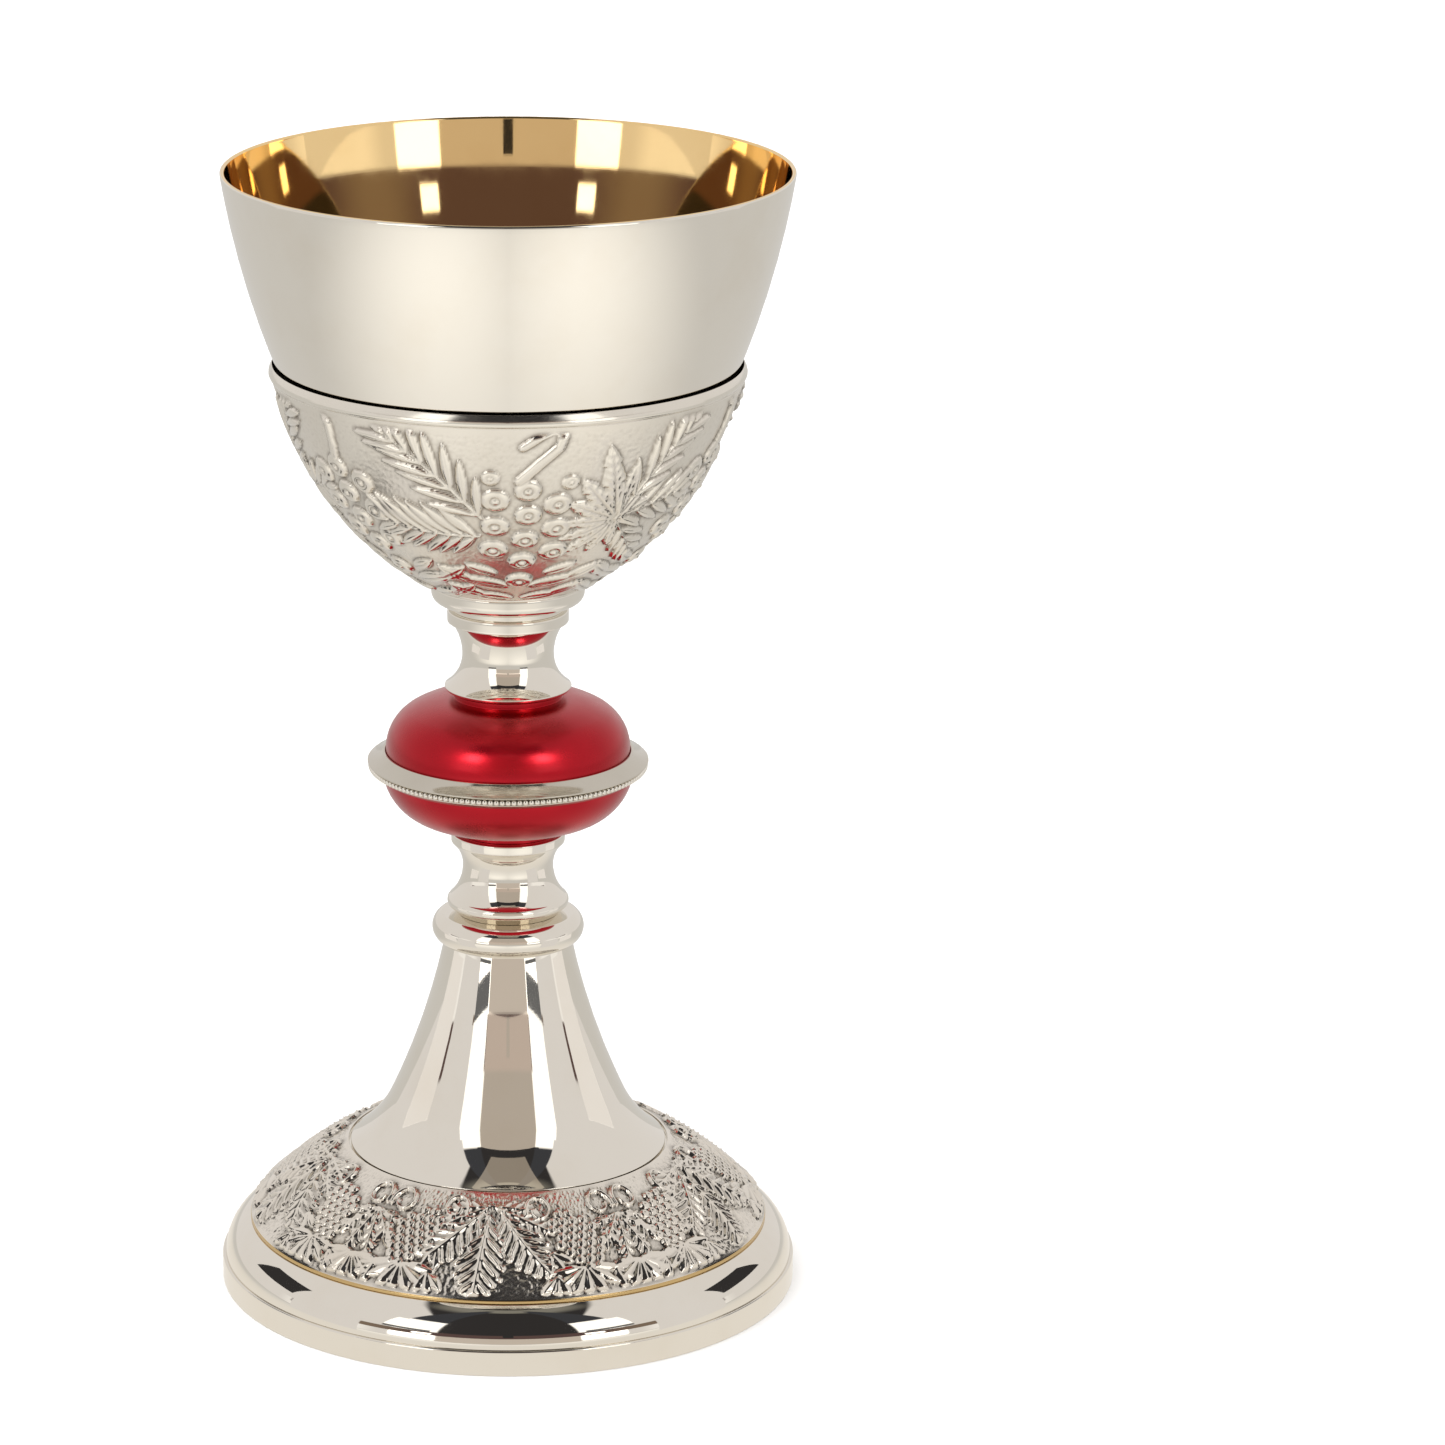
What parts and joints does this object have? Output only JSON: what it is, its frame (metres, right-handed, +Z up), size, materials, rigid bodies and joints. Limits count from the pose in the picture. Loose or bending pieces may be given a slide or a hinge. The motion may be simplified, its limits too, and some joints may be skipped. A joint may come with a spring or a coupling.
{
  "type": "communion chalice",
  "caption": "Stemmed communion chalice: gilt-lined cup in an embossed calyx, red enamelled knop with beaded band, flared stem and round foot with a vine relief.",
  "frame": {"origin": "centre of the circle on which the foot stands", "axes": "+Z up along the axis of the cup, stem and foot; the part is round, and -Y is the side shown to the front"},
  "size_m": [0.112, 0.112, 0.22],
  "materials": {
    "polished_silver": "mirror-polished silver plate",
    "cup_silver_gilt": "polished silver plate outside, polished gilding inside",
    "relief_silver": "satin silver plate with raised and chased relief",
    "red_enamel": "translucent red enamel over bright metal",
    "raw_brass": "turned brass",
    "zinc_steel": "zinc-plated steel"
  },
  "bodies": {
    "root": {"foot_ring": "polished_silver", "foot_shell": "polished_silver", "foot_relief_plate": "relief_silver", "foot_trumpet": "polished_silver", "stem_ring": "polished_silver", "lower_spool": "polished_silver", "knop_lower_shell": "red_enamel", "knop_upper_shell": "red_enamel", "knop_band": "polished_silver", "knop_bead_wire": "polished_silver", "knop_spacer_tube": "raw_brass", "upper_spool": "polished_silver", "calyx_collar": "polished_silver", "calyx": "relief_silver", "cup": "cup_silver_gilt", "cup_boss": "raw_brass", "tie_rod": "zinc_steel", "clamp_washer": "raw_brass", "spring_washer": "zinc_steel", "tie_nut": "zinc_steel"}
  },
  "joints": []
}
